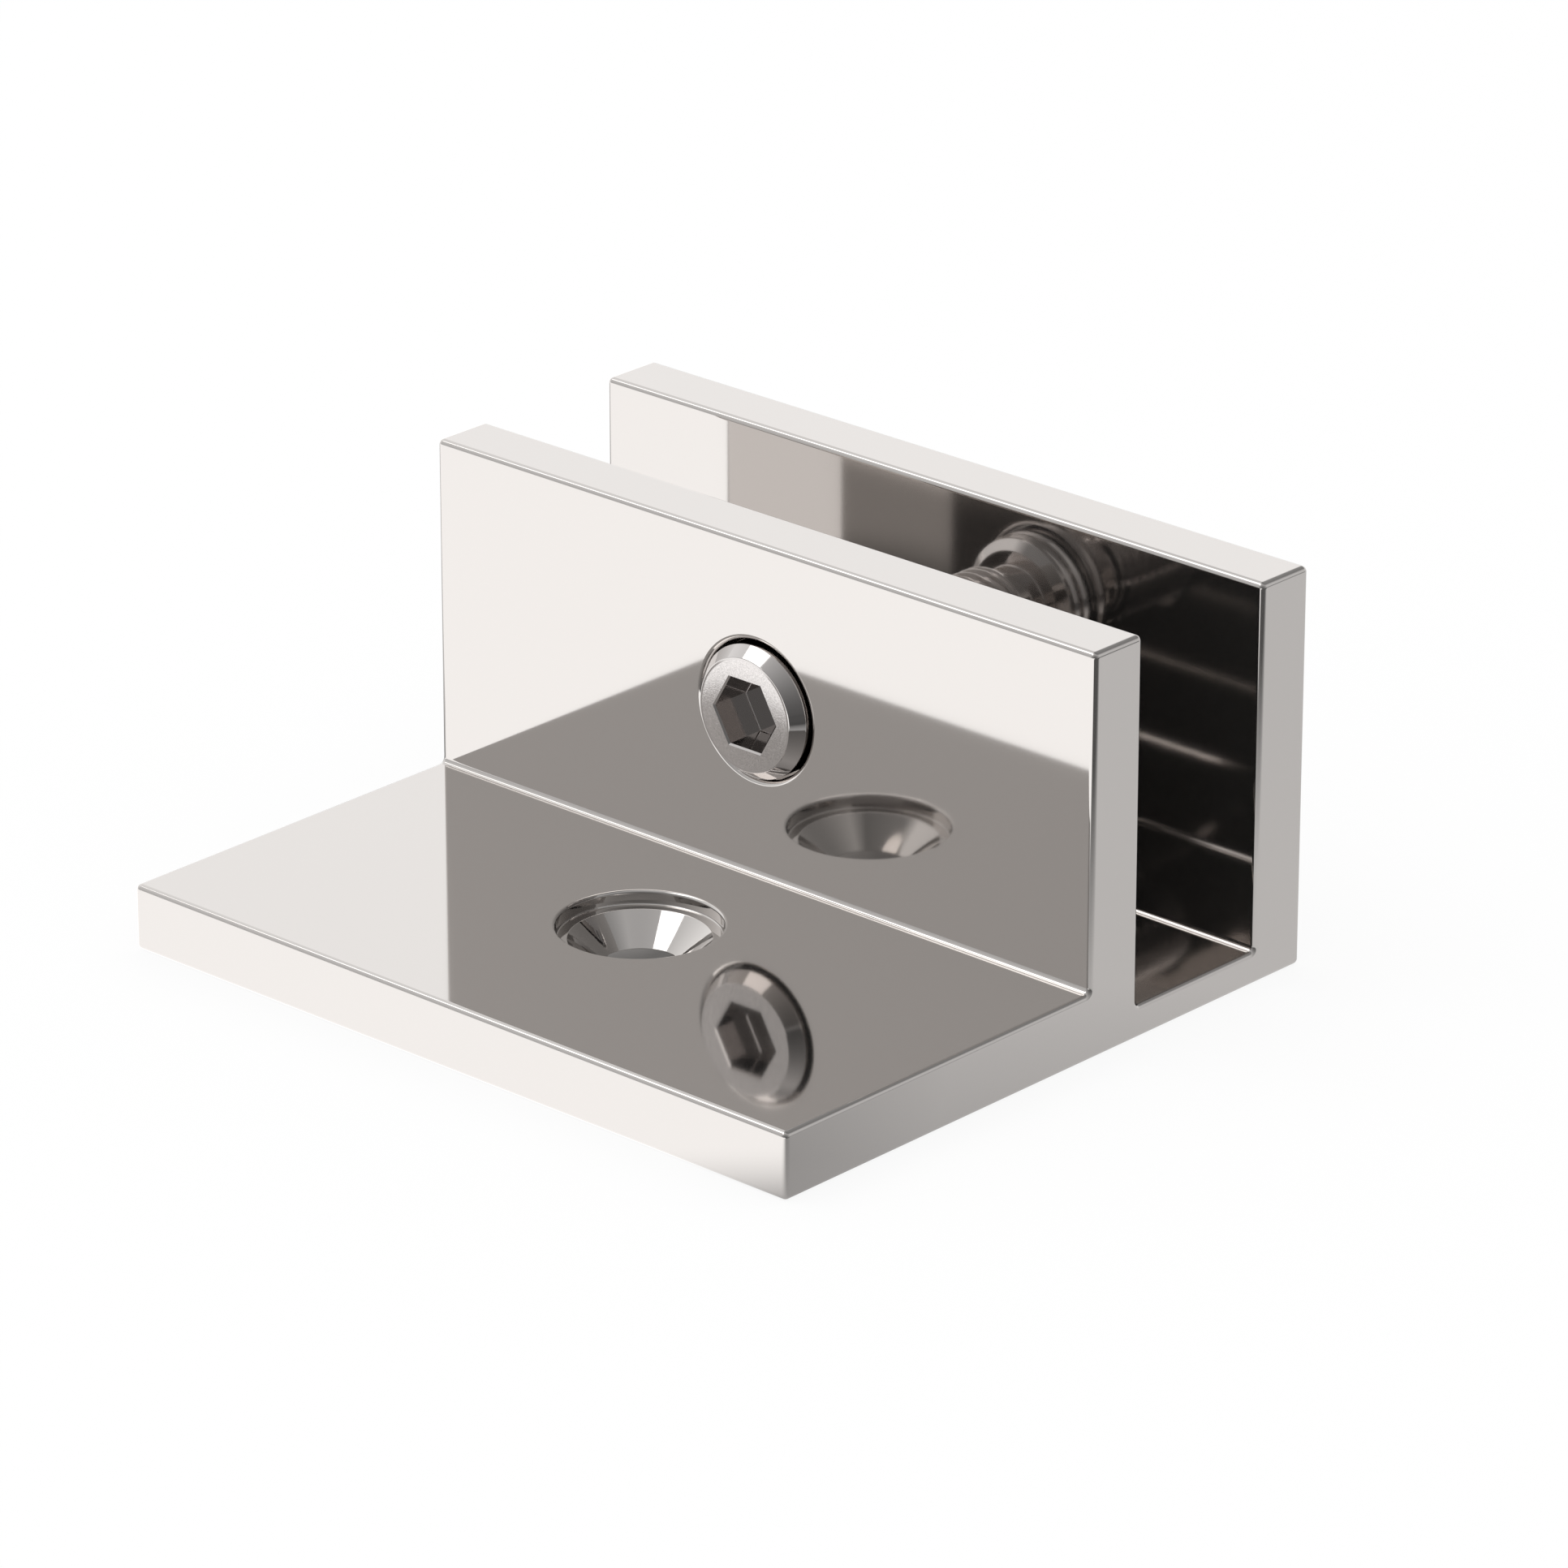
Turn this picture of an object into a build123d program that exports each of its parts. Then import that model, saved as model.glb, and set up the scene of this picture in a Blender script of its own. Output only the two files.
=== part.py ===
from build123d import *
from math import radians, tan
import os

# Glass bracket with one clamping screw, in millimetres.
# X runs along the bracket, +Y from the flange's front edge to the rear wall, +Z up.
# The origin is the middle of the underside.

# Bracket body: one section of constant form, polished all over
body_length = 50.0
flange_depth = 24.8
flange_thickness = 4.0
front_wall = 4.0
slot_width = 10.2
rear_wall = 4.0
body_height = 24.1
slot_floor = 2.0
edge_round = 0.35
wall_root_round = 0.35
slot_root_round = 0.3

# Fixing hole in the flange: a shallow recess, a cone for a countersunk head and a through hole
fixing_bore = 4.8
cone_mouth = 8.2
cone_angle = 90.0
recess_bore = 9.5
recess_depth = 0.85
recess_rim_round = 0.2
fixing_hole_from_front = 15.2

# Clamping screw: a barrel head that passes through the front wall, a neck and a fine thread
screw_height = 14.0
barrel_diameter = 8.0
barrel_proud = 0.95
glass_grip = 8.0
front_bevel_radial = 0.6
front_bevel_length = 0.75
shoulder_bevel_radial = 0.7
shoulder_bevel_length = 0.5
neck_diameter = 4.8
neck_length = 1.9
thread_diameter = 6.0
tip_chamfer = 0.5
tip_inset = 0.6

# Hexagon socket in the front of the barrel
socket_across_flats = 4.02
socket_depth = 2.6
socket_lead_in = 0.1

# The screw's two holes: clearance in the front wall, tapped in the rear wall
barrel_clearance = 0.15
wall_hole_round = 0.35
thread_clearance = 0.05
tapped_lead_in = 0.4

# Places along Y, from the front edge of the flange to the back of the rear wall
total_depth = flange_depth + front_wall + slot_width + rear_wall
y_front = -total_depth / 2
y_wall = y_front + flange_depth
y_slot = y_wall + front_wall
y_rear = y_slot + slot_width
y_back = y_rear + rear_wall
y_fixing = y_front + fixing_hole_from_front

# Lengths of the screw, which spans from the front wall's face to the rear wall
barrel_length = barrel_proud + front_wall + slot_width - glass_grip
screw_length = barrel_proud + front_wall + slot_width + rear_wall - tip_inset
wall_hole_radius = barrel_diameter / 2 + barrel_clearance
tapped_radius = thread_diameter / 2 + thread_clearance

# How far a cutter reaches past the face that it opens
overrun = 1.0


def turned(profile):
    """Solid of revolution about Z from (radius, height) points listed along its outline."""
    outline = [(0, profile[0][1]), *profile, (0, profile[-1][1])]
    return revolve(make_face(Plane.XZ * Polyline(*outline, close=True)), Axis.Z)


def on_screw_axis(shape, y):
    """Lay a shape modelled along +Z on the screw's axis, pointing to +Y, with its zero at y."""
    return Plane(origin=(0, y, screw_height), x_dir=(1, 0, 0), z_dir=(0, 1, 0)).location * shape


def section():
    """Section of the bracket: flange, front wall, slot and rear wall, with rounded roots."""
    face = make_face(
        Polyline(
            (y_front, 0),
            (y_back, 0),
            (y_back, body_height),
            (y_rear, body_height),
            (y_rear, slot_floor),
            (y_slot, slot_floor),
            (y_slot, body_height),
            (y_wall, body_height),
            (y_wall, flange_thickness),
            (y_front, flange_thickness),
            close=True,
        )
    )
    face = fillet(corners(face, [(y_wall, flange_thickness)]), wall_root_round)
    return fillet(corners(face, [(y_slot, slot_floor), (y_rear, slot_floor)]), slot_root_round)


def corners(face, places):
    """Vertices of a flat face at the given places."""
    return [v for v in face.vertices() if any(v.distance_to(Vertex(*p, 0)) < 1e-6 for p in places)]


def outer_edges(block):
    """Edges that polishing rounds: the section's convex corners and both end faces."""
    convex = [
        (y_front, 0),
        (y_back, 0),
        (y_back, body_height),
        (y_rear, body_height),
        (y_slot, body_height),
        (y_wall, body_height),
        (y_front, flange_thickness),
    ]
    long_edges = [
        e
        for e in block.edges().filter_by(Axis.X)
        if any(abs(e.center().Y - y) + abs(e.center().Z - z) < 1e-6 for y, z in convex)
    ]
    end_edges = [e for end in block.faces().filter_by(Axis.X) for e in end.edges()]
    return long_edges + end_edges


def fixing_hole():
    """Cutter for the flange's hole, from above: recess, flat ledge, cone and through hole."""
    ledge = flange_thickness - recess_depth
    cone_depth = (cone_mouth - fixing_bore) / 2 / tan(radians(cone_angle / 2))
    cutter = turned(
        [
            (fixing_bore / 2, -overrun),
            (fixing_bore / 2, ledge - cone_depth),
            (cone_mouth / 2, ledge),
            (recess_bore / 2, ledge),
            (recess_bore / 2, flange_thickness + overrun),
        ]
    )
    return Pos(0, y_fixing, 0) * cutter


def wall_hole():
    """Cutter for the clearance hole that the barrel passes through."""
    return on_screw_axis(
        turned([(wall_hole_radius, 0), (wall_hole_radius, front_wall)]), y_wall
    )


def tapped_hole():
    """Cutter for the rear wall's tapped hole at the thread's full diameter, with lead-ins."""
    mouth = tapped_radius + tapped_lead_in
    return on_screw_axis(
        turned(
            [
                (mouth, 0),
                (tapped_radius, tapped_lead_in),
                (tapped_radius, rear_wall - tapped_lead_in),
                (mouth, rear_wall),
            ]
        ),
        y_rear,
    )


def circles(block, radius, in_range):
    """Circular edges of one radius whose centres lie where in_range says."""
    rims = block.edges().filter_by(GeomType.CIRCLE)
    return [e for e in rims if abs(e.radius - radius) < 1e-6 and in_range(e.arc_center)]


def bracket_body():
    """One solid: the extruded section with rounded edges, its two screw holes and fixing hole."""
    block = extrude(Plane.YZ * section(), amount=body_length / 2, both=True)
    block = fillet(outer_edges(block), edge_round)
    block = block - fixing_hole() - wall_hole() - tapped_hole()
    recess_rim = circles(block, recess_bore / 2, lambda c: abs(c.Z - flange_thickness) < 1e-6)
    block = fillet(recess_rim, recess_rim_round)
    wall_rims = circles(block, wall_hole_radius, lambda c: y_wall - 1e-6 < c.Y < y_slot + 1e-6)
    return fillet(wall_rims, wall_hole_round)


def socket():
    """Cutter for the hexagon socket, corners to the sides, with a chamfered mouth."""
    half_flats = socket_across_flats / 2
    hexagon = RegularPolygon(radius=half_flats, side_count=6, major_radius=False)
    mouth = RegularPolygon(radius=half_flats + socket_lead_in, side_count=6, major_radius=False)
    prism = Pos(0, 0, -overrun) * extrude(hexagon, amount=overrun + socket_depth)
    return prism + extrude(mouth, amount=socket_lead_in, taper=45)


def clamp_screw():
    """One turned piece: bevelled barrel head with its socket, neck, thread and chamfered tip."""
    barrel = barrel_diameter / 2
    thread = thread_diameter / 2
    thread_start = barrel_length + neck_length
    turning = turned(
        [
            (barrel - front_bevel_radial, 0),
            (barrel, front_bevel_length),
            (barrel, barrel_length - shoulder_bevel_length),
            (barrel - shoulder_bevel_radial, barrel_length),
            (neck_diameter / 2, barrel_length),
            (neck_diameter / 2, thread_start),
            (thread, thread_start + (thread - neck_diameter / 2) / 2),
            (thread, screw_length - tip_chamfer),
            (thread - tip_chamfer, screw_length),
        ]
    )
    return on_screw_axis(turning - socket(), y_wall - barrel_proud)


def main():
    """Build both pieces and write one STEP file for each."""
    os.makedirs("parts", exist_ok=True)
    export_step(bracket_body(), "parts/bracket_body.step")
    export_step(clamp_screw(), "parts/clamp_screw.step")


main()
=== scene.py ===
import logging
import math
from dataclasses import dataclass
from enum import IntEnum

import bpy
import numpy as np
from mathutils import Matrix, Vector


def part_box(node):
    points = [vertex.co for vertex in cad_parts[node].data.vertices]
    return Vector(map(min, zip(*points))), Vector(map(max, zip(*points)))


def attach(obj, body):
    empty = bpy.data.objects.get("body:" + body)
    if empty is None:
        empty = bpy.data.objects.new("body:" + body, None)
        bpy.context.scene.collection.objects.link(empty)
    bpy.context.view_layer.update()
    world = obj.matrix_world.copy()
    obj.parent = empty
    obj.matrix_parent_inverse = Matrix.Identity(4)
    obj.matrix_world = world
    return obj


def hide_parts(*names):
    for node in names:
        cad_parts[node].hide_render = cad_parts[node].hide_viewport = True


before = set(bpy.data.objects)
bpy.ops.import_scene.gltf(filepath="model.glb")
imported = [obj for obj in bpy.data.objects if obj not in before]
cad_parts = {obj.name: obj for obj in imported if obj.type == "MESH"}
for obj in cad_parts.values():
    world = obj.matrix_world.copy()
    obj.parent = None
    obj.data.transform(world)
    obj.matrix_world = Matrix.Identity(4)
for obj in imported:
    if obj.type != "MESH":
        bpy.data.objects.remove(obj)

# Looks of the glass bracket: a mirror-polished body and its clamping screw.
# Metres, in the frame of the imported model: +X along the bracket, +Y to the rear wall, +Z up.

MM = 0.001

# Points in a full circle, and decimals of a metre to which corners are merged
AROUND = 96
MERGE_DIGITS = 8

# A cell with less area has no normal, and a normal that leans inwards by less isn't turned round
NO_AREA = 1e-14
SIGN_SLACK = 1e-9

# The colour of all light, and a square's corners in order
WHITE = "#FFFFFF"
CORNERS = ((1, 1), (-1, 1), (-1, -1), (1, -1))

log = logging.getLogger("glass_bracket")


# Colours and nodes


def linear(hex_colour: str) -> tuple[float, float, float, float]:
    """Turn an sRGB hex colour to linear.

    Args:
        hex_colour: The colour as "#RRGGBB".

    Returns:
        Linear red, green and blue, and an alpha of 1.
    """
    shares = [int(hex_colour[i : i + 2], 16) / 255 for i in (1, 3, 5)]
    return (*(c / 12.92 if c <= 0.04045 else ((c + 0.055) / 1.055) ** 2.4 for c in shares), 1.0)


def add_node(
    tree: bpy.types.NodeTree,
    kind: str,
    settings: dict[str, object] | None = None,
    inputs: dict[str | int, object] | None = None,
) -> bpy.types.Node:
    """Add a node with its settings and links.

    Args:
        tree: The node tree that gets it.
        kind: The node's type name.
        settings: Attributes of the node and their values.
        inputs: Sockets, by name or number, each with a plain value or the socket that feeds it.

    Returns:
        The new node.
    """
    made = tree.nodes.new(kind)
    for name, value in (settings or {}).items():
        setattr(made, name, value)
    for key, value in (inputs or {}).items():
        if isinstance(value, bpy.types.NodeSocket):
            tree.links.new(value, made.inputs[key])
        else:
            made.inputs[key].default_value = value
    return made


def reckon(
    tree: bpy.types.NodeTree, operation: str, *values: float | bpy.types.NodeSocket
) -> bpy.types.NodeSocket:
    """Reckon with numbers by one Math node.

    Args:
        tree: The node tree that gets it.
        operation: What the node does.
        values: For each of its inputs, a plain value or the socket that feeds it.

    Returns:
        The socket of the result.
    """
    settings = {"operation": operation}
    return add_node(tree, "ShaderNodeMath", settings, dict(enumerate(values))).outputs[0]


def measure(
    tree: bpy.types.NodeTree,
    operation: str,
    place: bpy.types.NodeSocket,
    other: tuple[float, float, float],
) -> bpy.types.NodeSocket:
    """Measure a place or direction against a fixed one, by DOT_PRODUCT or DISTANCE.

    Args:
        tree: The node tree that gets the node.
        operation: What the node does.
        place: The socket with the place or direction.
        other: The fixed one.

    Returns:
        The socket of the result.
    """
    settings = {"operation": operation}
    return add_node(tree, "ShaderNodeVectorMath", settings, {0: place, 1: other}).outputs["Value"]


def ramp(
    tree: bpy.types.NodeTree,
    value: bpy.types.NodeSocket,
    span: tuple[float, float],
    levels: tuple[float, float],
    soft: bool = False,
) -> bpy.types.NodeSocket:
    """Turn a value into a level that goes from one to another over a span.

    Args:
        tree: The node tree that gets the node.
        value: The socket with the value.
        span: The values at which the level starts and stops to change.
        levels: The level up to the span's start and that from its end on.
        soft: Whether it eases in and out instead of going straight.

    Returns:
        The socket of the level.
    """
    node = add_node(
        tree,
        "ShaderNodeMapRange",
        {"interpolation_type": "SMOOTHSTEP" if soft else "LINEAR"},
        {
            "Value": value,
            "From Min": span[0],
            "From Max": span[1],
            "To Min": levels[0],
            "To Max": levels[1],
        },
    )
    return node.outputs[0]


def blank_material(name: str) -> tuple[bpy.types.Material, bpy.types.NodeTree]:
    """Make a material with an empty node tree.

    Args:
        name: The material's name.

    Returns:
        The material and its tree.
    """
    material = bpy.data.materials.new(name)
    material.use_nodes = True
    material.node_tree.nodes.clear()
    return material, material.node_tree


# Surfaces


def rounded(
    corners: list[tuple[float, float]], radii: list[float], steps: int, closed: bool
) -> tuple[np.ndarray, np.ndarray]:
    """Round the corners of a flat outline with arcs.

    At each corner the travel turns by an angle. The arc's centre lies back along the arriving
    edge by radius times the tangent of half the turn, and then one radius to the side of the
    turn. A point of the arc is the centre plus the radius times the normal, and the normal turns
    evenly from one edge's to the next one's. A radius of 0 leaves a sharp corner, with both
    normals at one point.

    Args:
        corners: The outline's corners, with the normals on the right of the travel.
        radii: One radius for each corner. An open outline's ends take 0.
        steps: Segments of each arc.
        closed: Whether the last corner is joined to the first.

    Returns:
        Points and unit normals, steps + 1 of them for each corner.
    """
    places = np.array(corners, float)
    ahead = np.roll(places, -1, axis=0) - places
    ahead /= np.linalg.norm(ahead, axis=1)[:, None]
    behind = np.roll(ahead, 1, axis=0)
    if not closed:
        behind[0] = ahead[0]
        ahead[-1] = behind[-1]
    turn = np.arctan2(
        behind[:, 0] * ahead[:, 1] - behind[:, 1] * ahead[:, 0], (behind * ahead).sum(1)
    )
    arriving = np.stack([behind[:, 1], -behind[:, 0]], axis=1)
    radius = np.array(radii)[:, None]
    centre = places - behind * radius * np.tan(np.abs(turn) / 2)[:, None]
    centre -= arriving * radius * np.sign(turn)[:, None]
    angle = turn[:, None] * np.linspace(0, 1, steps + 1)
    cosine, sine = np.cos(angle), np.sin(angle)
    normals = np.stack(
        [
            arriving[:, :1] * cosine - arriving[:, 1:] * sine,
            arriving[:, :1] * sine + arriving[:, 1:] * cosine,
        ],
        axis=2,
    )
    reach = (radius * np.sign(turn)[:, None])[:, :, None]
    points = centre[:, None] + reach * normals
    return points.reshape(-1, 2), normals.reshape(-1, 2)


@dataclass(frozen=True)
class TurningAxis:
    """An axis with two directions across it, for what is drilled or turned."""

    origin: tuple[float, float, float]
    across: tuple[float, float, float]
    up: tuple[float, float, float]
    along: tuple[float, float, float]

    def spokes(self, angles: np.ndarray) -> np.ndarray:
        """Unit directions from the axis: cosine times across plus sine times up."""
        cosine, sine = np.cos(angles)[..., None], np.sin(angles)[..., None]
        return cosine * np.array(self.across) + sine * np.array(self.up)

    def place(self, radius: np.ndarray, angles: np.ndarray, depth: np.ndarray) -> np.ndarray:
        """Points: origin plus radius times the spoke plus depth times along."""
        outward = np.asarray(radius)[..., None] * self.spokes(angles)
        return np.array(self.origin) + outward + np.asarray(depth)[..., None] * np.array(self.along)

    def rim(self, radius: float, depth: float) -> np.ndarray:
        """One circle of AROUND points at a radius and a depth."""
        angles = np.arange(AROUND) * 2 * math.pi / AROUND
        return self.place(np.full(AROUND, radius), angles, np.full(AROUND, depth))


class Skin:
    """One closed surface gathered from patches, each with the exact normals of its formula."""

    def __init__(self) -> None:
        """Start with no patches."""
        self.points: list[np.ndarray] = []
        self.normals: list[np.ndarray] = []
        self.finishes: list[np.ndarray] = []

    def _facing(self, corners: np.ndarray, normals: np.ndarray, finish: int) -> None:
        """Keep faces, turned so that they point the way their normals do.

        Args:
            corners: Face corners, faces by corners by 3.
            normals: A normal for each of them.
            finish: The faces' material number.
        """
        following = np.roll(corners, -1, axis=1)
        pointing = np.cross(corners - corners[:, :1], following - corners[:, :1]).sum(axis=1)
        if (pointing * normals.mean(axis=1)).sum() < 0:
            corners, normals = corners[:, ::-1], normals[:, ::-1]
        self.points.append(corners)
        self.normals.append(normals)
        self.finishes.append(np.full(len(corners), finish))

    def grid(
        self,
        points: np.ndarray,
        normals: np.ndarray,
        finish: int = 0,
        left_out: np.ndarray | None = None,
    ) -> None:
        """Add a patch of four-sided faces.

        Args:
            points: Rows by columns by 3.
            normals: A normal for each point, of length 1 or nearly so.
            finish: The patch's material number.
            left_out: True for each cell that another patch covers.
        """
        cells = [np.s_[:-1, :-1], np.s_[:-1, 1:], np.s_[1:, 1:], np.s_[1:, :-1]]
        corners = np.stack([points[c] for c in cells], axis=2)
        facing = np.stack([normals[c] for c in cells], axis=2)
        kept = np.ones(corners.shape[:2], bool) if left_out is None else ~left_out
        self._facing(corners[kept], facing[kept], finish)

    def flat(self, outline: np.ndarray, normal: np.ndarray, finish: int = 0) -> None:
        """Add one flat face.

        Args:
            outline: Its corners in order, or several faces with equally many corners.
            normal: The unit normal of all of them.
            finish: Its material number.
        """
        corners = outline.reshape(-1, *outline.shape[-2:])
        self._facing(corners, np.broadcast_to(normal, corners.shape), finish)

    def turned(
        self, axis: TurningAxis, profile: np.ndarray, outward: np.ndarray, finish: int = 0
    ) -> None:
        """Add a surface of revolution: each profile point goes once round the axis.

        Args:
            axis: The axis that it goes round.
            profile: Radius and depth of each point.
            outward: The profile's normals in the same two directions.
            finish: Its material number.
        """
        angles = np.linspace(0, 2 * math.pi, AROUND + 1)[None]
        points = axis.place(profile[:, :1], angles, profile[:, 1:])
        normals = outward[:, :1, None] * axis.spokes(angles)
        normals = normals + outward[:, 1:, None] * np.array(axis.along)
        self.grid(points, normals, finish)

    def drilled_face(
        self,
        axis: TurningAxis,
        depth: float,
        radius: float,
        low: np.ndarray,
        high: np.ndarray,
        normal: np.ndarray,
    ) -> None:
        """Add a flat rectangle with a round hole, as four faces that meet on its diagonals.

        Each face has one side of the rectangle and the quarter of the hole's rim opposite it.

        Args:
            axis: The hole's axis, square to the rectangle.
            depth: Where the rectangle lies along the axis.
            radius: The hole's radius.
            low: The rectangle's lower limits across and up, from the axis.
            high: Its upper limits.
            normal: The face's unit normal.
        """
        rim = axis.rim(radius, depth)
        quarter = AROUND // 4
        reach = np.where(np.array(CORNERS) > 0, high, low)
        angles = np.arctan2(reach[:, 1], reach[:, 0])
        corners = axis.place(np.hypot(reach[:, 0], reach[:, 1]), angles, np.full(4, depth))
        starts = AROUND // 8 + quarter * np.arange(4)
        arcs = rim[(starts[:, None] + np.arange(quarter, -1, -1)) % AROUND]
        sides = np.stack([corners, np.roll(corners, -1, axis=0)], axis=1)
        self.flat(np.concatenate([sides, arcs], axis=1), normal)

    def to_object(self, name: str, materials: list[bpy.types.Material]) -> bpy.types.Object:
        """Merge the patches into one mesh and put it in the scene.

        Corners at one place become one vertex, a face that keeps fewer than three of them goes,
        and each remaining face corner keeps its own normal.

        Args:
            name: The object's name.
            materials: The finishes, in the order of their numbers.

        Returns:
            The object, at the origin.
        """
        spots = np.concatenate([p.reshape(-1, 3) for p in self.points])
        vertices, index = np.unique(spots.round(MERGE_DIGITS), axis=0, return_inverse=True)
        index = index.ravel()
        corners, normals, counts, finishes = [], [], [], []
        start = 0
        for patch, facing, finish in zip(self.points, self.normals, self.finishes):
            faces = index[start : start + patch.shape[0] * patch.shape[1]].reshape(patch.shape[:2])
            start += faces.size
            kept = faces != np.roll(faces, -1, axis=1)
            kept &= (kept.sum(axis=1) > 2)[:, None]
            sides = kept.sum(axis=1)
            corners.append(faces[kept])
            normals.append(facing[kept])
            counts.append(sides[sides > 0])
            finishes.append(finish[sides > 0])
        sides = np.concatenate(counts)
        mesh = bpy.data.meshes.new(name)
        mesh.vertices.add(len(vertices))
        mesh.vertices.foreach_set("co", vertices.ravel())
        mesh.loops.add(int(sides.sum()))
        mesh.loops.foreach_set("vertex_index", np.concatenate(corners).astype(np.int32))
        mesh.polygons.add(len(sides))
        mesh.polygons.foreach_set("loop_start", (np.cumsum(sides) - sides).astype(np.int32))
        mesh.polygons.foreach_set("material_index", np.concatenate(finishes).astype(np.int32))
        mesh.polygons.foreach_set("use_smooth", np.ones(len(sides), bool))
        mesh.update(calc_edges=True)
        mesh.normals_split_custom_set(np.concatenate(normals))
        for material in materials:
            mesh.materials.append(material)
        made = bpy.data.objects.new(name, mesh)
        bpy.context.scene.collection.objects.link(made)
        return made


# Finishes


@dataclass(frozen=True)
class MirrorPolish:
    """Stainless steel, extruded to section, cut off, drilled and mirror polished.

    It gives the eye a clear, slightly warm mirror whose repeated reflections darken and brown.
    """

    name: str = "mirror_polished_stainless"
    colour: str = "#CBC7C4"
    roughness: float = 0.05
    metallic: float = 0.985
    wave_width: float = 3.0 * MM
    wave_depth: float = 0.0002 * MM

    def material(self) -> bpy.types.Material:
        """Make it: a bright metal with the long, shallow waves that a polishing mop leaves.

        A little less than full metal gives the faint haze that shows in its deepest reflections.

        Returns:
            The material.
        """
        material, tree = blank_material(self.name)
        place = add_node(tree, "ShaderNodeTexCoord")
        waves = add_node(
            tree,
            "ShaderNodeTexNoise",
            inputs={"Vector": place.outputs["Object"], "Scale": 1 / self.wave_width, "Detail": 1.0},
        )
        bump = add_node(
            tree,
            "ShaderNodeBump",
            inputs={"Strength": 1.0, "Distance": self.wave_depth, "Height": waves.outputs["Fac"]},
        )
        metal = add_node(
            tree,
            "ShaderNodeBsdfPrincipled",
            inputs={
                "Base Color": linear(self.colour),
                "Metallic": self.metallic,
                "Roughness": self.roughness,
                "Normal": bump.outputs["Normal"],
            },
        )
        add_node(tree, "ShaderNodeOutputMaterial", inputs={"Surface": metal.outputs["BSDF"]})
        return material


@dataclass(frozen=True)
class TurnedPolish:
    """Stainless steel, turned on a lathe and polished, as on the screw's barrel and thread.

    It gives the eye a mirror that is a little softer than the body's.
    """

    name: str = "turned_stainless"
    colour: str = "#C9C5C3"
    roughness: float = 0.06

    def material(self) -> bpy.types.Material:
        """Make it: one bright metal all over.

        Returns:
            The material.
        """
        material, tree = blank_material(self.name)
        metal = add_node(
            tree,
            "ShaderNodeBsdfPrincipled",
            inputs={
                "Base Color": linear(self.colour),
                "Metallic": 1.0,
                "Roughness": self.roughness,
            },
        )
        add_node(tree, "ShaderNodeOutputMaterial", inputs={"Surface": metal.outputs["BSDF"]})
        return material


@dataclass(frozen=True)
class SatinFace:
    """Stainless steel, faced and tumbled, as on the end of the screw's head.

    It gives the eye a soft, finely grained grey that is lighter towards the light.
    """

    name: str = "satin_stainless"
    colour: str = "#CBC7C5"
    roughness: float = 0.17
    grain_width: float = 0.07 * MM
    grain_depth: float = 0.003 * MM
    speckle: float = 0.3
    speckle_span: tuple[float, float] = (0.3, 0.7)

    def material(self) -> bpy.types.Material:
        """Make it: one grain gives both fine unevenness and a fine speckle of lighter and darker.

        The real grain is finer than shown: it is drawn as coarse as it has to be to show.

        Returns:
            The material.
        """
        material, tree = blank_material(self.name)
        place = add_node(tree, "ShaderNodeTexCoord")
        grain = add_node(
            tree,
            "ShaderNodeTexNoise",
            inputs={"Vector": place.outputs["Object"], "Scale": 1 / self.grain_width, "Detail": 3.0},
        )
        half = self.speckle / 2
        speckle = ramp(tree, grain.outputs["Fac"], self.speckle_span, (1 - half, 1 + half))
        tone = add_node(
            tree,
            "ShaderNodeVectorMath",
            {"operation": "SCALE"},
            {0: linear(self.colour)[:3], "Scale": speckle},
        )
        bump = add_node(
            tree,
            "ShaderNodeBump",
            inputs={"Strength": 1.0, "Distance": self.grain_depth, "Height": grain.outputs["Fac"]},
        )
        metal = add_node(
            tree,
            "ShaderNodeBsdfPrincipled",
            inputs={
                "Base Color": tone.outputs["Vector"],
                "Metallic": 1.0,
                "Roughness": self.roughness,
                "Normal": bump.outputs["Normal"],
            },
        )
        add_node(tree, "ShaderNodeOutputMaterial", inputs={"Surface": metal.outputs["BSDF"]})
        return material


# The bracket's body


class BodyFlat(IntEnum):
    """The section's flats, each named by the corner that it starts from."""

    UNDERSIDE = 0
    BACK = 1
    REAR_WALL_TOP = 2
    GLASS_SEAT = 3
    SLOT_FLOOR = 4
    SLOT_FRONT = 5
    FRONT_WALL_TOP = 6
    FRONT_WALL_FACE = 7
    FLANGE_TOP = 8
    FRONT_EDGE = 9


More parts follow.
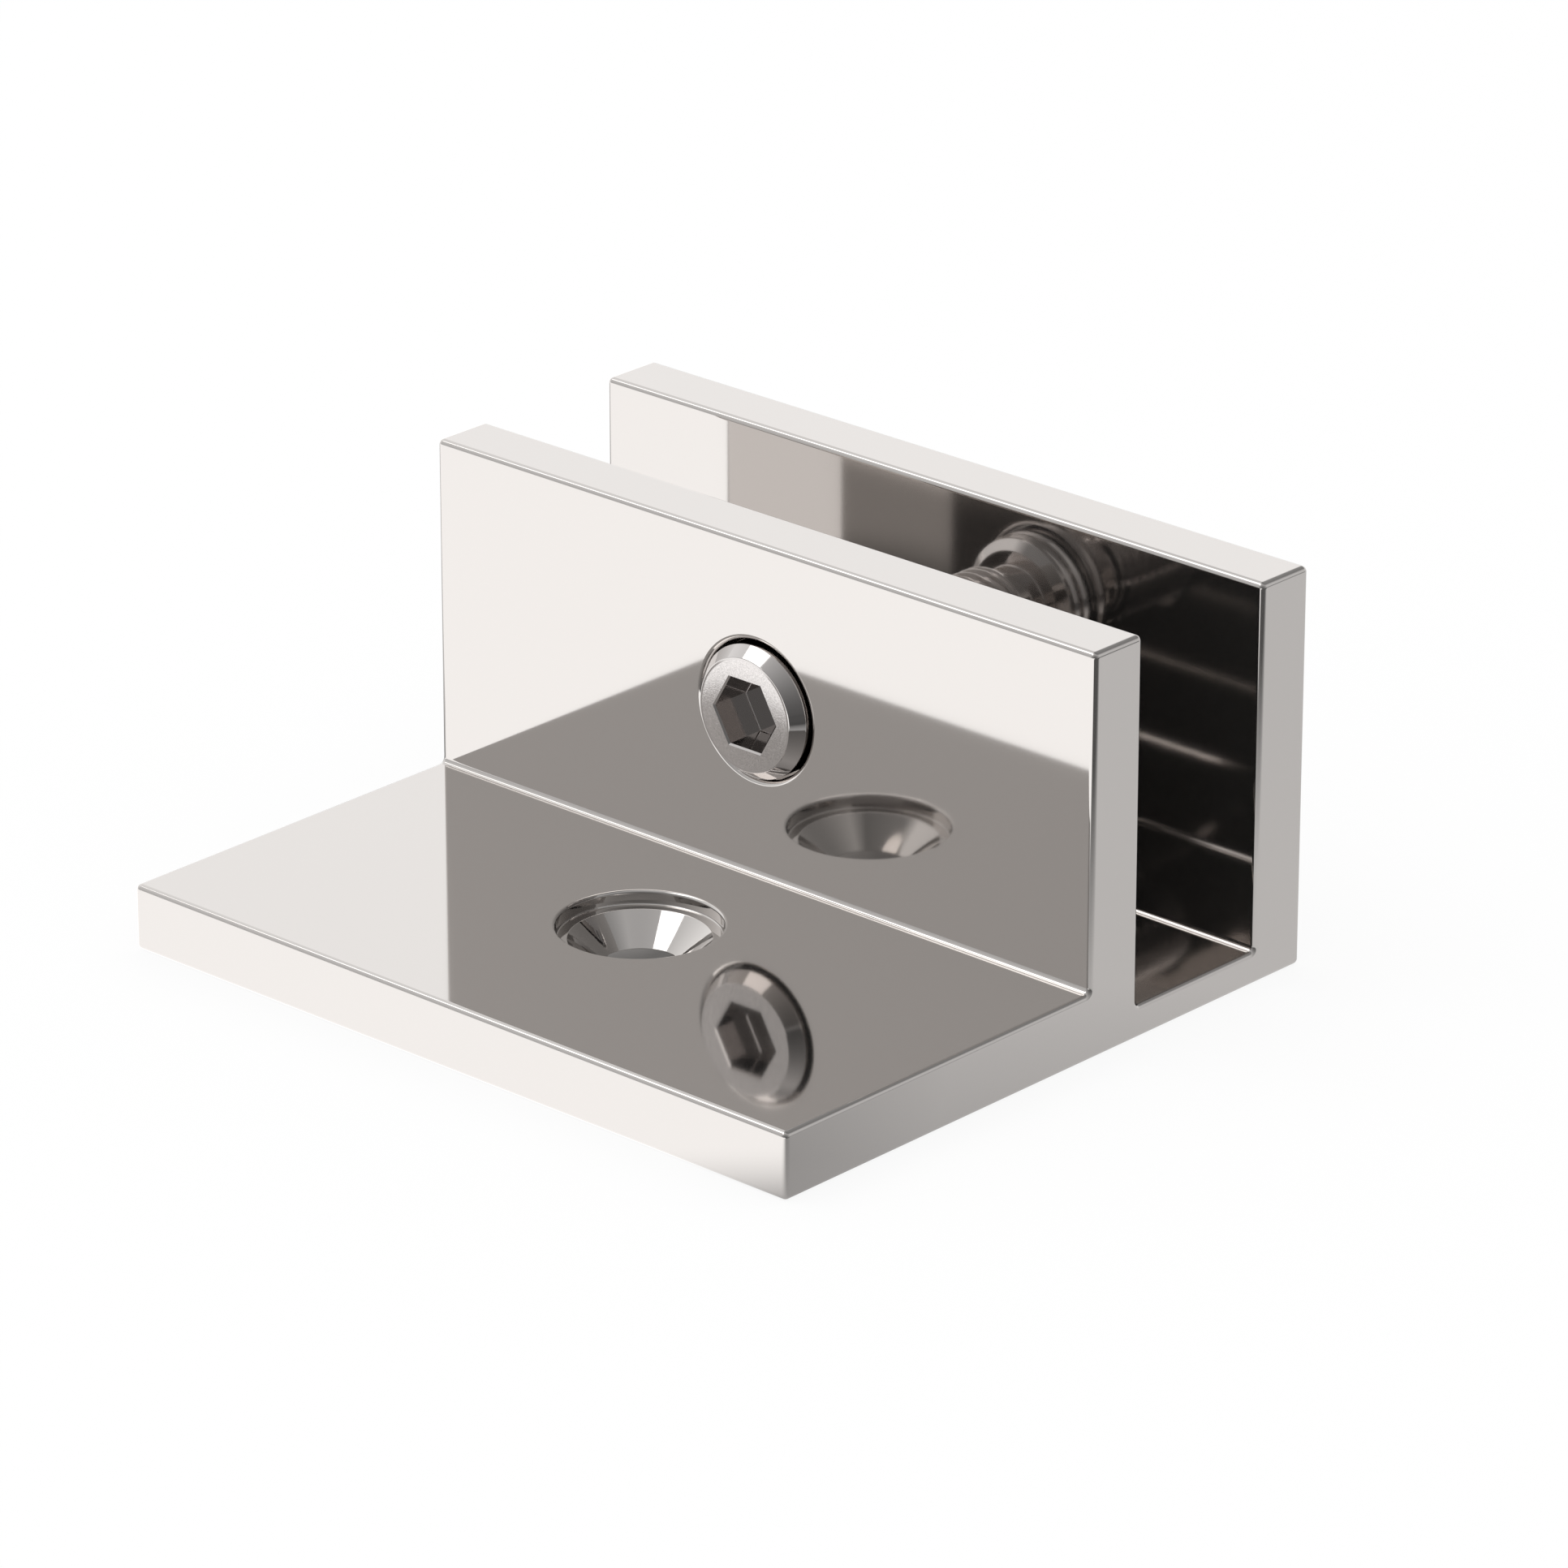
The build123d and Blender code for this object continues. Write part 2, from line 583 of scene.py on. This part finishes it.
@dataclass(frozen=True)
class BracketBody:
    """The extruded body: flange, front wall, slot and rear wall, with three holes."""

    screw_height: float
    flange_depth: float = 24.8 * MM
    flange_thickness: float = 4.0 * MM
    front_wall: float = 4.0 * MM
    slot_width: float = 10.2 * MM
    slot_floor: float = 2.0 * MM
    edge_round: float = 0.35 * MM
    wall_root_round: float = 0.35 * MM
    slot_root_round: float = 0.3 * MM
    fixing_hole_from_front: float = 15.2 * MM
    fixing_bore: float = 4.8 * MM
    cone_mouth: float = 8.2 * MM
    cone_edge: float = 0.06 * MM
    recess_bore: float = 9.5 * MM
    recess_depth: float = 0.85 * MM
    recess_rim_round: float = 0.2 * MM
    recess_root_round: float = 0.12 * MM
    wall_hole: float = 8.3 * MM
    wall_hole_round: float = 0.35 * MM
    tapped_hole: float = 6.1 * MM
    tapped_lead_in: float = 0.4 * MM
    arc_steps: int = 8

    def _places(self) -> tuple[float, float, float, float, float]:
        """Work out the places along Y from the frame's box.

        Returns:
            Y of the front edge, the front wall, the slot, the rear wall and the back.
        """
        low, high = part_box("bracket_body")
        y_wall = low.y + self.flange_depth
        y_slot = y_wall + self.front_wall
        return low.y, y_wall, y_slot, y_slot + self.slot_width, high.y

    def _outline(self) -> tuple[np.ndarray, np.ndarray]:
        """Round the section's corners, each with its own radius.

        Returns:
            Points in Y and Z from the underside's front corner round by the back, and normals.
        """
        y_front, y_wall, y_slot, y_rear, y_back = self._places()
        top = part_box("bracket_body")[1].z
        edge = self.edge_round
        corners = [
            ((y_front, 0.0), edge),
            ((y_back, 0.0), edge),
            ((y_back, top), edge),
            ((y_rear, top), edge),
            ((y_rear, self.slot_floor), self.slot_root_round),
            ((y_slot, self.slot_floor), self.slot_root_round),
            ((y_slot, top), edge),
            ((y_wall, top), edge),
            ((y_wall, self.flange_thickness), self.wall_root_round),
            ((y_front, self.flange_thickness), edge),
        ]
        return rounded([c for c, _ in corners], [r for _, r in corners], self.arc_steps, True)

    def _shell(self, skin: Skin, half: float) -> np.ndarray:
        """Carry the outline along X, round it into both ends and close them.

        A ring lies at half the length less the edge radius times one minus the sine of an angle,
        and is the outline moved inwards by that radius times one minus the cosine. Its normals
        lean towards X by the same angle, which goes from 90 degrees at an end to 0 and back.

        Args:
            skin: The surface that gets the patches.
            half: Half the body's length.

        Returns:
            The outline, for the flats that are drilled.
        """
        outline, outward = self._outline()
        quarter = np.linspace(math.pi / 2, 0, self.arc_steps + 1)
        lean = np.concatenate([quarter, quarter[::-1]])
        side = np.repeat([-1.0, 1.0], self.arc_steps + 1)
        x = side * (half - self.edge_round * (1 - np.sin(lean)))
        inset = self.edge_round * (1 - np.cos(lean))
        rings = outline - inset[:, None, None] * outward
        points = np.concatenate(
            [np.broadcast_to(x[:, None, None], (*rings.shape[:2], 1)), rings], axis=2
        )
        lengthwise = np.broadcast_to((side * np.sin(lean))[:, None, None], (*rings.shape[:2], 1))
        normals = np.concatenate([lengthwise, np.cos(lean)[:, None, None] * outward], axis=2)
        for end, way in ((0, -1.0), (-1, 1.0)):
            skin.flat(points[end], np.array([way, 0.0, 0.0]))
        points = np.concatenate([points, points[:, :1]], axis=1)
        normals = np.concatenate([normals, normals[:, :1]], axis=1)
        drilled = np.zeros((len(x) - 1, len(outline)), bool)
        for flat in (
            BodyFlat.UNDERSIDE,
            BodyFlat.BACK,
            BodyFlat.GLASS_SEAT,
            BodyFlat.SLOT_FRONT,
            BodyFlat.FRONT_WALL_FACE,
            BodyFlat.FLANGE_TOP,
        ):
            drilled[self.arc_steps, flat * (self.arc_steps + 1) + self.arc_steps] = True
        skin.grid(points, normals, left_out=drilled)
        return outline

    def _limits(
        self, outline: np.ndarray, flat: BodyFlat, half: float, centre: float, column: int
    ) -> tuple[np.ndarray, np.ndarray]:
        """Find the limits of one flat's straight stretch, across and up from a hole's axis.

        Args:
            outline: The section's points.
            flat: The flat that is drilled.
            half: Half the body's length.
            centre: The hole's place along the flat.
            column: 0 where the flat runs along Y, 1 where it runs along Z.

        Returns:
            Lower and upper limits.
        """
        count = self.arc_steps + 1
        first = outline[flat * count + self.arc_steps, column] - centre
        last = outline[(flat + 1) * count % len(outline), column] - centre
        across = half - self.edge_round
        return np.array([-across, min(first, last)]), np.array([across, max(first, last)])

    def _drill(
        self,
        skin: Skin,
        axis: TurningAxis,
        profile: list[tuple[float, float]],
        radii: list[float],
        faces: list[tuple[np.ndarray, np.ndarray]],
    ) -> None:
        """Line one hole and add the two flats that it opens.

        Args:
            skin: The surface that gets the patches.
            axis: The hole's axis.
            profile: Radius and depth from the face that looks along the axis to the other one.
            radii: The rounding at each point of the profile.
            faces: Both flats' limits, in the same order.
        """
        skin.turned(axis, *rounded(profile, radii, self.arc_steps, False))
        along = np.array(axis.along)
        for (radius, depth), (low, high), normal in zip(
            (profile[0], profile[-1]), faces, (along, -along)
        ):
            skin.drilled_face(axis, depth, radius, low, high, normal)

    def build(self, finish: bpy.types.Material) -> bpy.types.Object:
        """Make the whole body as one closed mesh.

        Args:
            finish: The body's material.

        Returns:
            The body, which stands for its CAD node and rides on the bracket.
        """
        y_front, y_wall, y_slot, y_rear, y_back = self._places()
        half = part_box("bracket_body")[1].x
        skin = Skin()
        outline = self._shell(skin, half)

        y_fixing = y_front + self.fixing_hole_from_front
        upright = TurningAxis((0, y_fixing, 0), (1, 0, 0), (0, 1, 0), (0, 0, 1))
        top, bore, mouth = self.flange_thickness, self.fixing_bore / 2, self.cone_mouth / 2
        recess, ledge = self.recess_bore / 2, self.flange_thickness - self.recess_depth
        rim = self.recess_rim_round
        self._drill(
            skin,
            upright,
            [
                (recess + rim, top),
                (recess, top),
                (recess, ledge),
                (mouth, ledge),
                (bore, ledge - (mouth - bore)),
                (bore, 0.0),
            ],
            [0, rim, self.recess_root_round, self.cone_edge, self.cone_edge, 0],
            [
                self._limits(outline, BodyFlat.FLANGE_TOP, half, y_fixing, 0),
                self._limits(outline, BodyFlat.UNDERSIDE, half, y_fixing, 0),
            ],
        )

        level = TurningAxis((0, 0, self.screw_height), (1, 0, 0), (0, 0, 1), (0, 1, 0))
        passage, rim = self.wall_hole / 2, self.wall_hole_round
        self._drill(
            skin,
            level,
            [(passage + rim, y_slot), (passage, y_slot), (passage, y_wall), (passage + rim, y_wall)],
            [0, rim, rim, 0],
            [
                self._limits(outline, BodyFlat.SLOT_FRONT, half, self.screw_height, 1),
                self._limits(outline, BodyFlat.FRONT_WALL_FACE, half, self.screw_height, 1),
            ],
        )

        tapped, lead = self.tapped_hole / 2, self.tapped_lead_in
        self._drill(
            skin,
            level,
            [
                (tapped + lead, y_back),
                (tapped, y_back - lead),
                (tapped, y_rear + lead),
                (tapped + lead, y_rear),
            ],
            [0, 0, 0, 0],
            [
                self._limits(outline, BodyFlat.BACK, half, self.screw_height, 1),
                self._limits(outline, BodyFlat.GLASS_SEAT, half, self.screw_height, 1),
            ],
        )

        body = skin.to_object("polished_body", [finish])
        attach(body, "bracket")
        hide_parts("bracket_body")
        return body


# The clamping screw


@dataclass(frozen=True)
class ClampScrew:
    """The turned screw: head with its hexagon socket, barrel, neck and right-hand fine thread."""

    barrel_length: float = 7.15 * MM
    front_bevel_radial: float = 0.6 * MM
    front_bevel_length: float = 0.75 * MM
    shoulder_bevel_radial: float = 0.7 * MM
    shoulder_bevel_length: float = 0.5 * MM
    rib_depth: float = 0.1 * MM
    ribs_from: float = 3.0 * MM
    ribs_to: float = 6.45 * MM
    edge_break: float = 0.08 * MM
    polished_rim: float = 0.15 * MM
    face_crown: float = 0.055
    neck: float = 4.8 * MM
    neck_length: float = 1.9 * MM
    thread: float = 6.0 * MM
    thread_depth: float = 0.46 * MM
    pitch: float = 0.75 * MM
    crest_flat: float = 1 / 8
    root_flat: float = 1 / 4
    tip_chamfer: float = 0.5 * MM
    socket_flats: float = 4.02 * MM
    socket_depth: float = 2.6 * MM
    socket_lead_in: float = 0.1 * MM
    socket_foot: float = 0.08 * MM
    arc_steps: int = 5
    rows_per_pitch: int = 16

    def axis(self) -> TurningAxis:
        """The screw's axis, from the middle of its front face to +Y, from the frame's box."""
        low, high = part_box("clamp_screw")
        return TurningAxis((0, low.y, (low.z + high.z) / 2), (1, 0, 0), (0, 0, 1), (0, 1, 0))

    def _socket(self, skin: Skin, rim: float, satin: int, polished: int) -> None:
        """Lay out the face up to its rim and sink the hexagon socket into it.

        One profile of offsets and depths leads from the floor round its edge up the wall and the
        chamfer. On each flat, the distance from the axis is the offset divided by the cosine of
        the angle from the flat's middle. The face stays flat, but its normals lean outwards in
        proportion to the distance from the axis, as where tumbling has left it a little crowned.

        Args:
            skin: The surface that gets the patches.
            rim: The radius of the face's rim.
            satin: The material number of the face.
            polished: The material number of the socket.
        """
        axis = self.axis()
        half, lead, depth = self.socket_flats / 2, self.socket_lead_in, self.socket_depth
        profile, inward = rounded(
            [(0.0, depth), (half, depth), (half, lead), (half + lead, 0.0)],
            [0.0, self.socket_foot, 0.0, 0.0],
            self.arc_steps,
            False,
        )
        along = np.array(axis.along)
        steps = np.arange(AROUND // 6 + 1) * 2 * math.pi / AROUND - math.pi / 6
        for middle in (np.arange(6) + 0.5) * math.pi / 3:
            angles = steps + middle
            points = axis.place(profile[:, :1] / np.cos(steps), angles, profile[:, 1:])
            normals = inward[:, :1] * axis.spokes(middle) + inward[:, 1:] * along
            normals = np.broadcast_to(normals[:, None], points.shape)
            skin.grid(points, normals, polished)
            edge = axis.place(np.full_like(angles, rim), angles, np.zeros_like(angles))
            face = np.stack([points[-1], edge])
            leaning = (face - np.array(axis.origin)) * self.face_crown / rim
            skin.grid(face, leaning - along, satin)

    def _thread(
        self, skin: Skin, turned: list[tuple[float, float]], cut: float, finish: int
    ) -> None:
        """Wind a thread: rows follow the helix, so that each crest is one clean line.

        A row's depth grows by one pitch in a turn, held between the thread's two ends. Its radius
        is the profile's at its place in the pitch, a crest and a root flat joined by straight
        flanks, or that of the turned outline where it is less. Both flats are shares of the pitch.
        The normals are square to the rows and the turn, and spokes where a face has no area.

        Args:
            skin: The surface that gets the patch.
            turned: Depth and radius of the outline that the thread is cut into.
            cut: How deep the thread is cut.
            finish: The thread's material number.
        """
        axis = self.axis()
        depths, radii = np.array(turned).T
        start, end, crest = depths[0], depths[-1], radii.max()
        count = int((end - start) / self.pitch + 2) * self.rows_per_pitch
        row = np.arange(count + 1)[:, None] / self.rows_per_pitch
        angles = np.linspace(0, 2 * math.pi, AROUND + 1)[None]
        depth = np.clip(start + self.pitch * (row - 1 + angles / (2 * math.pi)), start, end)
        from_crest = np.abs((row + 0.5) % 1 - 0.5)
        flank = [self.crest_flat / 2, (1 - self.root_flat) / 2]
        profile = np.interp(from_crest, flank, [crest, crest - cut])
        radius = np.minimum(profile, np.interp(depth, depths, radii))
        points = axis.place(radius, np.broadcast_to(angles, depth.shape), depth)
        along_rows, along_turn = np.gradient(points, axis=0), np.gradient(points, axis=1)
        normals = np.cross(along_rows, along_turn)
        spokes = np.broadcast_to(axis.spokes(angles), normals.shape)
        length = np.linalg.norm(normals, axis=2, keepdims=True)
        normals = np.where(length > NO_AREA, normals / np.maximum(length, NO_AREA), spokes)
        normals = normals * np.sign((normals * spokes).sum(axis=2, keepdims=True) + SIGN_SLACK)
        skin.grid(points, normals, finish)

    def build(
        self, satin: bpy.types.Material, polished: bpy.types.Material
    ) -> bpy.types.Object:
        """Make the whole screw as one closed mesh.

        Args:
            satin: The material of the end face.
            polished: The material of the rest.

        Returns:
            The screw, which stands for its CAD node and rides on the screw's body.
        """
        low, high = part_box("clamp_screw")
        barrel, length = (high.x - low.x) / 2, high.y - low.y
        axis = self.axis()
        skin = Skin()
        face = barrel - self.front_bevel_radial
        inner = face - self.polished_rim
        self._socket(skin, inner, 0, 1)
        shoulder, edge = self.barrel_length, self.edge_break
        ribbed, neck = barrel - self.rib_depth, self.neck / 2
        thread_start = shoulder + self.neck_length
        head = [
            ((inner, 0.0), 0.0),
            ((face, 0.0), edge),
            ((barrel, self.front_bevel_length), edge),
            ((barrel, self.ribs_from), 0.0),
            ((ribbed, self.ribs_from), 0.0),
        ]
        tail = [
            ((ribbed, self.ribs_to), 0.0),
            ((ribbed, shoulder - self.shoulder_bevel_length), edge),
            ((barrel - self.shoulder_bevel_radial, shoulder), edge),
            ((neck, shoulder), edge),
            ((neck, thread_start), 0.0),
        ]
        for part in (head, tail):
            turning = rounded([p for p, _ in part], [r for _, r in part], self.arc_steps, False)
            skin.turned(axis, *turning, 1)
        run = self.pitch / 2
        ribs = [
            (self.ribs_from, ribbed),
            (self.ribs_from + run, barrel),
            (self.ribs_to - run, barrel),
            (self.ribs_to, ribbed),
        ]
        self._thread(skin, ribs, self.rib_depth, 1)
        crest = self.thread / 2
        thread = [
            (thread_start, neck),
            (thread_start + (crest - neck) / 2, crest),
            (length - self.tip_chamfer, crest),
            (length, crest - self.tip_chamfer),
        ]
        self._thread(skin, thread, self.thread_depth, 1)
        skin.flat(axis.rim(crest - self.tip_chamfer, length), np.array(axis.along), 1)
        screw = skin.to_object("socket_screw", [satin, polished])
        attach(screw, "screw")
        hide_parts("clamp_screw")
        return screw


# The studio


@dataclass(frozen=True)
class Studio:
    """Pale floor, one softbox and soft surroundings, white behind the object, and the camera.

    Each level is how bright a part is, against 1 for white. A span is where a level changes, and a
    way is the direction along which that is measured.
    """

    # The camera
    azimuth: float = 42.497
    elevation: float = 22.488
    focal_length: float = 200.2
    sensor: float = 36.0
    distance: float = 489.5 * MM
    aim: tuple[float, float, float] = (0.0, 0.0, 12.0 * MM)
    camera_right: float = 3.815 * MM
    camera_up: float = -1.34 * MM
    clip: tuple[float, float] = (0.01, 20.0)

    # The surroundings as the metal sees them, from dim opposite the light side to bright on it
    light_way: tuple[float, float, float] = (-0.71, 0.68, 0.16)
    light_levels: tuple[float, float] = (0.11, 1.29)
    overhead_way: tuple[float, float, float] = (0.0, 0.55, 0.835)
    overhead_span: tuple[float, float] = (0.72, 0.9)
    overhead_level: float = 0.3

    # The softbox, high in front on the left
    softbox_way: tuple[float, float, float] = (-0.41, -0.37, 0.83)
    softbox_size: tuple[float, float] = (0.7, 0.36)
    softbox_reach: float = 1.0
    softbox_level: float = 1.9

    # The floor, and the share of its paint in what the camera sees of it
    floor_side: float = 3.0
    floor_drop: float = 0.01 * MM
    floor_colour: str = "#F4F4F4"
    floor_paint: float = 0.12

    # The floor's painted light and shade as the metal sees them: a painted pool of light in front,
    # painted shade beside the object and more of it to the right
    front_way: tuple[float, float, float] = (-0.7, -0.7, 0.0)
    front_span: tuple[float, float] = (-8 * MM, 5 * MM)
    front_level: float = 1.5
    beside_span: tuple[float, float] = (-30 * MM, -8 * MM)
    beside_levels: tuple[float, float] = (0.77, 0.58)
    right_way: tuple[float, float, float] = (0.82, -0.57, 0.0)
    right_span: tuple[float, float] = (26 * MM, 60 * MM)
    right_level: float = 0.15

    # A strip of painted shade along X on the left, and a painted shadow spot in it at the slot's end
    strip_middle: float = 10.5 * MM
    strip_half: float = 20 * MM
    strip_way: tuple[float, float, float] = (0.75, -0.66, 0.0)
    strip_end: float = -23 * MM
    strip_level: float = 0.48
    shadow_spot_centre: tuple[float, float, float] = (-32 * MM, 14 * MM, 0.0)
    shadow_spot_span: tuple[float, float] = (8 * MM, 18 * MM)
    shadow_spot_level: float = 0.15

    # The painted shade in the round of floor that shows through the fixing hole
    hole_shade_centre: tuple[float, float, float] = (-1.5 * MM, -6 * MM, 0.0)
    hole_shade_span: tuple[float, float] = (1 * MM, 5 * MM)
    hole_shade_levels: tuple[float, float] = (0.15, 0.35)

    def camera(self) -> bpy.types.Object:
        """Set up the camera at the photograph's angle.

        Returns:
            The camera, which is the scene's.
        """
        a, e = math.radians(self.azimuth), math.radians(self.elevation)
        back = Vector((math.sin(a) * math.cos(e), -math.cos(a) * math.cos(e), math.sin(e)))
        right = Vector((0, 0, 1)).cross(back).normalized()
        up = back.cross(right)
        data = bpy.data.cameras.new("camera")
        data.lens, data.sensor_width = self.focal_length, self.sensor
        data.clip_start, data.clip_end = self.clip
        camera = bpy.data.objects.new("camera", data)
        bpy.context.scene.collection.objects.link(camera)
        place = Vector(self.aim) + back * self.distance
        place += right * self.camera_right + up * self.camera_up
        turn = Matrix((right, up, back)).transposed().to_4x4()
        camera.matrix_world = Matrix.Translation(place) @ turn
        bpy.context.scene.camera = camera
        return camera

    def surroundings(self) -> None:
        """White to the camera, and a soft studio to the metal: bright on one side, dim opposite.

        To the metal, the level grows evenly with how far a direction leans to the light side, and
        it falls off overhead.
        """
        world = bpy.data.worlds.new("studio")
        bpy.context.scene.world = world
        world.use_nodes = True
        tree = world.node_tree
        tree.nodes.clear()
        rays = add_node(tree, "ShaderNodeLightPath")
        way = add_node(tree, "ShaderNodeTexCoord").outputs["Generated"]
        side = measure(tree, "DOT_PRODUCT", way, self.light_way)
        above = measure(tree, "DOT_PRODUCT", way, self.overhead_way)
        level = reckon(
            tree,
            "MULTIPLY",
            ramp(tree, side, (-1.0, 1.0), self.light_levels),
            ramp(tree, above, self.overhead_span, (1.0, self.overhead_level)),
        )
        soft = add_node(tree, "ShaderNodeBackground", inputs={0: linear(WHITE), 1: level})
        white = add_node(tree, "ShaderNodeBackground", inputs={0: linear(WHITE), 1: 1.0})
        mixed = add_node(
            tree,
            "ShaderNodeMixShader",
            inputs={0: rays.outputs["Is Glossy Ray"], 1: white.outputs[0], 2: soft.outputs[0]},
        )
        add_node(tree, "ShaderNodeOutputWorld", inputs={0: mixed.outputs[0]})

    def _floor_painted_light_and_shade(
        self, tree: bpy.types.NodeTree, place: bpy.types.NodeSocket
    ) -> bpy.types.NodeSocket:
        """Work out the painted light and shade that the metal sees on the floor.

        The floor has a painted pool of light in front and painted shade beside the object, more so
        to the right. To the left it has a strip of painted shade along X, with a painted shadow spot
        at the slot's end.

        Args:
            tree: The floor's node tree.
            place: The socket with the place on the floor.

        Returns:
            The socket of the level.
        """
        # A painted pool of light in front, and painted shade beside the object and more to the right
        forward = measure(tree, "DOT_PRODUCT", place, self.front_way)
        front = ramp(tree, forward, self.front_span, (0.0, self.front_level), soft=True)
        beside = ramp(tree, forward, self.beside_span, self.beside_levels)
        rightward = measure(tree, "DOT_PRODUCT", place, self.right_way)
        right = ramp(tree, rightward, self.right_span, (1.0, self.right_level))
        level = reckon(tree, "MAXIMUM", front, reckon(tree, "MULTIPLY", beside, right))
        # A strip of painted shade along X, and a painted shadow spot at the slot's end
        y = add_node(tree, "ShaderNodeSeparateXYZ", inputs={0: place}).outputs["Y"]
        in_row = reckon(tree, "COMPARE", y, self.strip_middle, self.strip_half)
        aslant = measure(tree, "DOT_PRODUCT", place, self.strip_way)
        in_strip = reckon(
            tree, "MULTIPLY", in_row, reckon(tree, "LESS_THAN", aslant, self.strip_end)
        )
        strip = ramp(tree, in_strip, (0.0, 1.0), (1.0, self.strip_level))
        from_end = measure(tree, "DISTANCE", place, self.shadow_spot_centre)
        spot = ramp(tree, from_end, self.shadow_spot_span, (self.shadow_spot_level, 1.0), soft=True)
        return reckon(tree, "MULTIPLY", reckon(tree, "MULTIPLY", level, strip), spot)

    def _painted_hole_shade(
        self, tree: bpy.types.NodeTree, place: bpy.types.NodeSocket
    ) -> bpy.types.NodeSocket:
        """Work out the floor's share of light: 1, but little in the round seen through the hole,
        where the shade under the bracket is painted.

        Args:
            tree: The floor's node tree.
            place: The socket with the place on the floor.

        Returns:
            The socket of that share.
        """
        distance = measure(tree, "DISTANCE", place, self.hole_shade_centre)
        inside = ramp(tree, distance, self.hole_shade_span, self.hole_shade_levels)
        outside = reckon(tree, "GREATER_THAN", distance, self.hole_shade_span[1])
        return reckon(tree, "MAXIMUM", inside, outside)

    def floor(self) -> bpy.types.Object:
        """Lay the pale floor, which keeps a faint shadow of the object. To the camera it glows
        white, with painted shade under the fixing hole, and to the metal it glows with painted light
        and shade.

        Returns:
            The floor.
        """
        half = self.floor_side / 2
        corners = [(x * half, y * half, -self.floor_drop) for x, y in CORNERS]
        mesh = bpy.data.meshes.new("floor")
        mesh.from_pydata(corners, [], [(0, 1, 2, 3)])
        material, tree = blank_material("pale_floor")
        rays = add_node(tree, "ShaderNodeLightPath")
        place = add_node(tree, "ShaderNodeTexCoord").outputs["Object"]
        lit = self._painted_hole_shade(tree, place)
        level = reckon(tree, "MULTIPLY", self._floor_painted_light_and_shade(tree, place), lit)
        # To the camera the floor glows white, with painted shade in the round under the fixing hole;
        # to the metal it glows as a card of painted light and shade
        glow = add_node(tree, "ShaderNodeEmission", inputs={0: linear(WHITE), 1: lit})
        painted_light_card = add_node(tree, "ShaderNodeEmission", inputs={0: linear(WHITE), 1: level})
        paint = add_node(tree, "ShaderNodeBsdfDiffuse", inputs={0: linear(self.floor_colour)})
        shader = paint.outputs[0]
        seen = add_node(
            tree,
            "ShaderNodeMixShader",
            inputs={0: self.floor_paint, 1: glow.outputs[0], 2: shader},
        )
        for ray, shown in (("Is Camera Ray", seen), ("Is Glossy Ray", painted_light_card)):
            shader = add_node(
                tree,
                "ShaderNodeMixShader",
                inputs={0: rays.outputs[ray], 1: shader, 2: shown.outputs[0]},
            ).outputs[0]
        add_node(tree, "ShaderNodeOutputMaterial", inputs={"Surface": shader})
        mesh.materials.append(material)
        floor = bpy.data.objects.new("floor", mesh)
        bpy.context.scene.collection.objects.link(floor)
        return floor

    def softbox(self) -> bpy.types.Object:
        """Hang the softbox, with two level sides and its face to the object.

        Its power is its area times pi times its level.

        Returns:
            The lamp.
        """
        width, height = self.softbox_size
        data = bpy.data.lights.new("softbox", "AREA")
        data.shape, data.size, data.size_y = "RECTANGLE", width, height
        data.energy = math.pi * width * height * self.softbox_level
        lamp = bpy.data.objects.new("softbox", data)
        way = Vector(self.softbox_way).normalized()
        level = Vector((0, 0, 1)).cross(way).normalized()
        turn = Matrix((level, way.cross(level), way)).transposed().to_4x4()
        place = Matrix.Translation(Vector(self.aim) + way * self.softbox_reach)
        lamp.matrix_world = place @ turn
        bpy.context.scene.collection.objects.link(lamp)
        return lamp

    def build(self) -> None:
        """Set up the whole studio."""
        bpy.context.scene.view_settings.view_transform = "Standard"
        self.camera()
        self.surroundings()
        self.floor()
        self.softbox()


def main() -> None:
    """Build the body, the screw and the studio, and report each of them."""
    logging.basicConfig(level=logging.INFO, format="%(name)s: %(message)s")
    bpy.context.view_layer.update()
    screw_class = ClampScrew()
    screw = screw_class.build(SatinFace().material(), TurnedPolish().material())
    body = BracketBody(screw_height=screw_class.axis().origin[2]).build(MirrorPolish().material())
    for piece in (screw, body):
        log.info("%s: %d faces", piece.name, len(piece.data.polygons))
    Studio().build()
    log.info("studio: camera, floor, surroundings and softbox")


if __name__ == "__main__":
    main()
